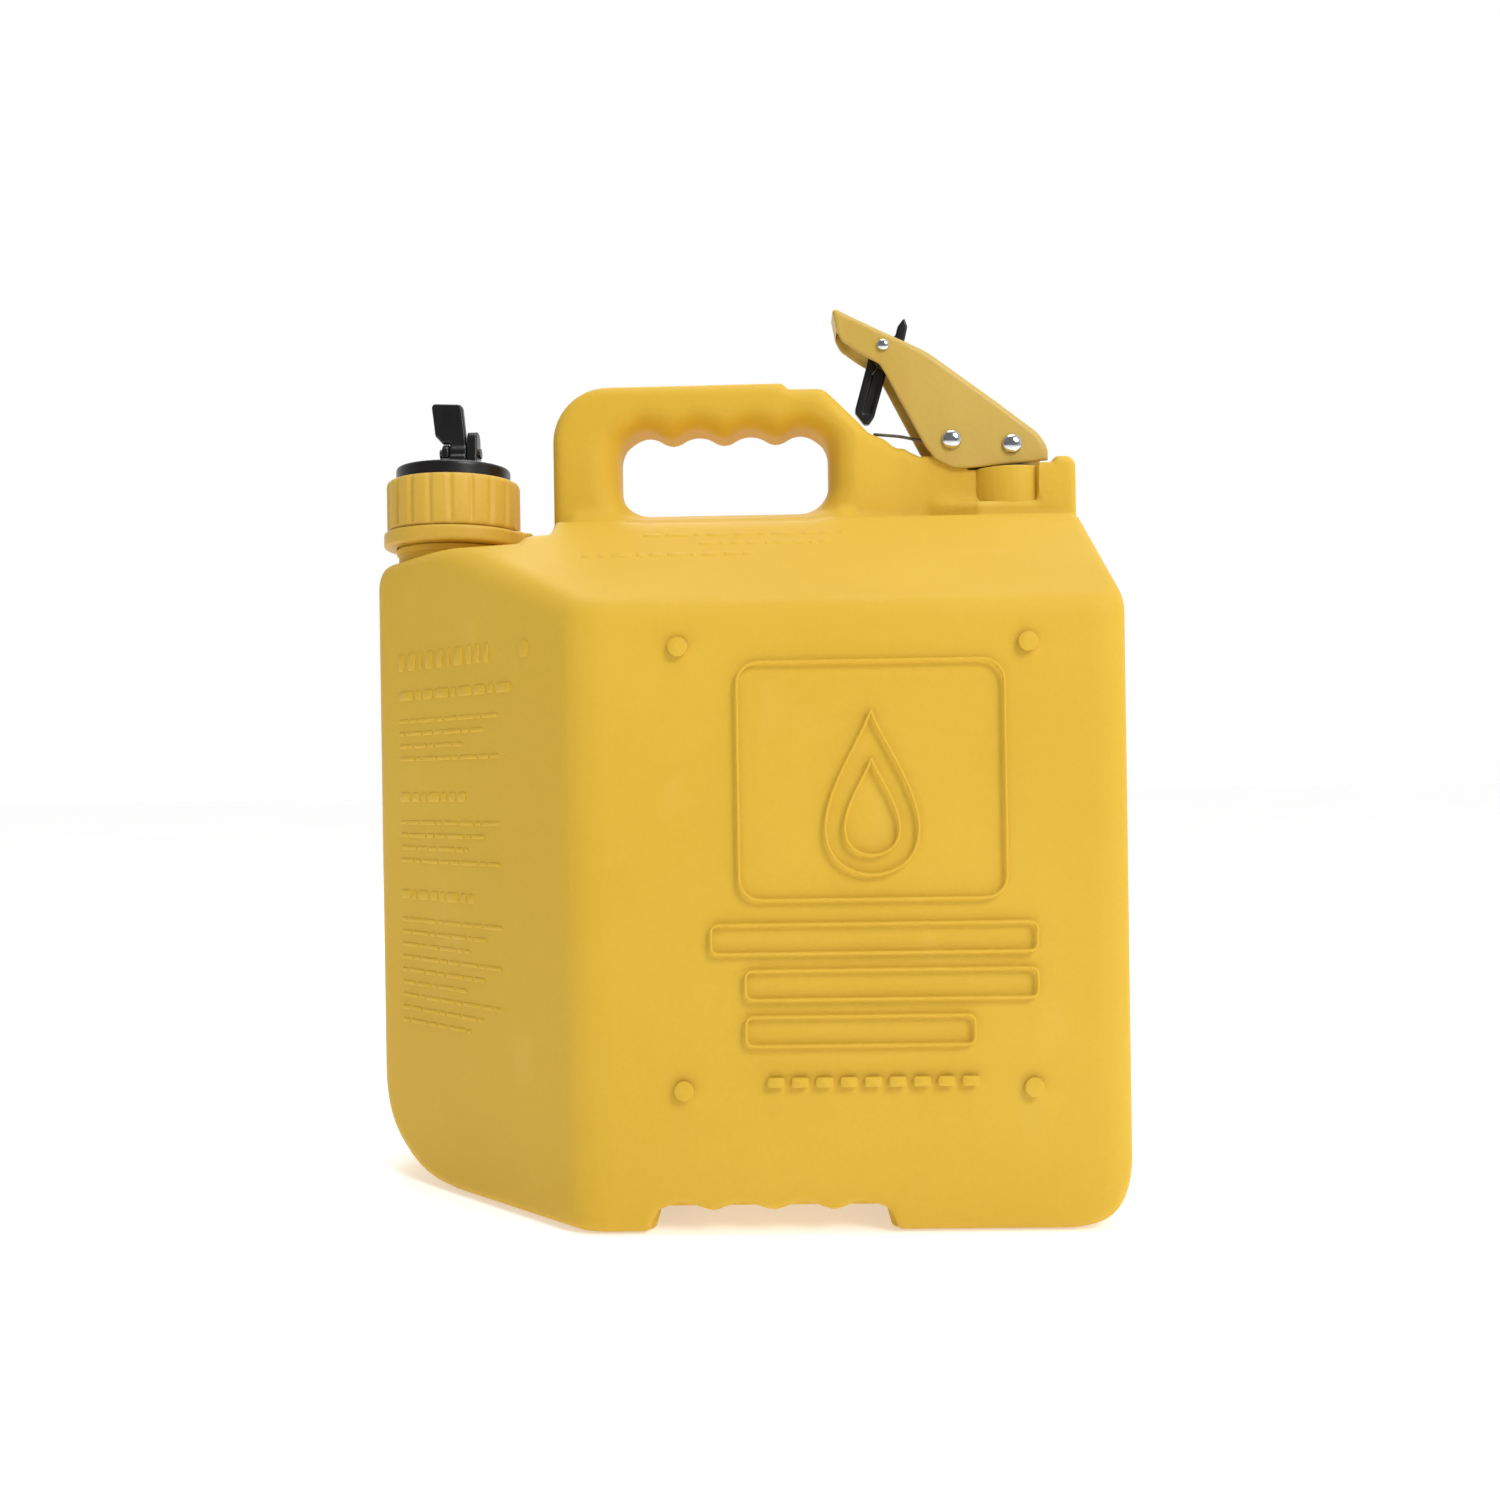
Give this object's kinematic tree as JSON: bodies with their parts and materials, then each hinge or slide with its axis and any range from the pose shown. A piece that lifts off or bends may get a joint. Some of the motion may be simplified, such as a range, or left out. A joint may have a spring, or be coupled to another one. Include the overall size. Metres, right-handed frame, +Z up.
{
  "type": "safety gas can",
  "caption": "Upright moulded fuel can with a grip on top, a ringed outlet with a vent lever, and a sprung filler lid opened by a thumb lever with a swinging safety catch.",
  "frame": {"origin": "centre of the bounding box on the floor plane that the can stands on", "axes": "+X from the outlet nose to the lever end, +Y across the can, +Z up; Y = 0 is the plane of symmetry of the tank"},
  "size_m": [0.3416, 0.262, 0.4201],
  "materials": {
    "tank_plastic": "moulded polyethylene with a fine satin grain",
    "ring_plastic": "moulded plastic, slightly paler than the tank",
    "black_plastic": "moulded black nylon, satin",
    "lever_paint": "powder-coated steel, satin",
    "seal_rubber": "matt fuel-resistant rubber",
    "rivet_chrome": "bright plated",
    "plain_steel": "zinc-plated or spring steel",
    "arrester_mesh": "fine woven stainless mesh"
  },
  "bodies": {
    "can": {"can_body": "tank_plastic", "lock_collar": "ring_plastic", "pivot_rivet": "rivet_chrome", "lever_spring": "plain_steel", "filler_arrester": "arrester_mesh"},
    "closure": {"outlet_disc": "black_plastic", "outlet_gasket": "seal_rubber", "outlet_arrester": "arrester_mesh", "vent_lever_pin": "rivet_chrome", "vent_spring": "plain_steel"},
    "ring": {"coupling_ring": "ring_plastic"},
    "vent_handle": {"vent_lever": "black_plastic"},
    "vent_valve": {"vent_stem": "black_plastic", "vent_seal": "seal_rubber", "vent_seal_nut": "plain_steel"},
    "lever_arm": {"lever": "lever_paint", "lid_rivet": "rivet_chrome", "catch_rivet": "rivet_chrome", "catch_spring": "plain_steel"},
    "lid_plug": {"lid": "plain_steel", "lid_gasket": "seal_rubber", "gasket_washer": "plain_steel", "gasket_screw": "plain_steel"},
    "catch": {"safety_catch": "black_plastic"}
  },
  "joints": [
    {"name": "lever_press", "type": "hinge", "parent": "can", "child": "lever_arm", "pos_m": [0.1119, 0, 0.3524], "axis": [0, -1, 0], "range_deg": [0, 16], "stiffness_Nm_per_rad": 3, "springref_deg": -20.05},
    {"name": "lid_level", "type": "hinge", "parent": "lever_arm", "child": "lid_plug", "pos_m": [0.1414, 0, 0.3497], "axis": [0, -1, 0], "range_deg": [-17, 1]},
    {"name": "catch_swing", "type": "hinge", "parent": "lever_arm", "child": "catch", "pos_m": [0.0792, 0, 0.3995], "axis": [0, -1, 0], "range_deg": [0, 42]},
    {"name": "closure_lift", "type": "slide", "parent": "can", "child": "closure", "axis": [0, 0, 1], "range_m": [0, 0.08]},
    {"name": "ring_turn", "type": "hinge", "parent": "closure", "child": "ring", "pos_m": [-0.135, 0, 0.325], "axis": [0, 0, 1], "continuous": true},
    {"name": "vent_push", "type": "slide", "parent": "closure", "child": "vent_valve", "axis": [0, 0, -1], "range_m": [0, 0.00235], "stiffness_N_per_m": 800, "springref_m": -0.002, "deforming": ["vent_spring"]},
    {"name": "vent_tilt", "type": "hinge", "parent": "closure", "child": "vent_handle", "pos_m": [-0.135, 0, 0.3525], "axis": [1, 0, 0], "range_deg": [0, 45]}
  ],
  "couplings": [
    {"joint": "lid_level", "follows": "lever_press", "ratio": -1},
    {"joint": "catch_swing", "follows": "lever_press", "ratio": 2.6},
    {"joint": "vent_tilt", "follows": "vent_push", "rad_per_m": 333.3}
  ]
}
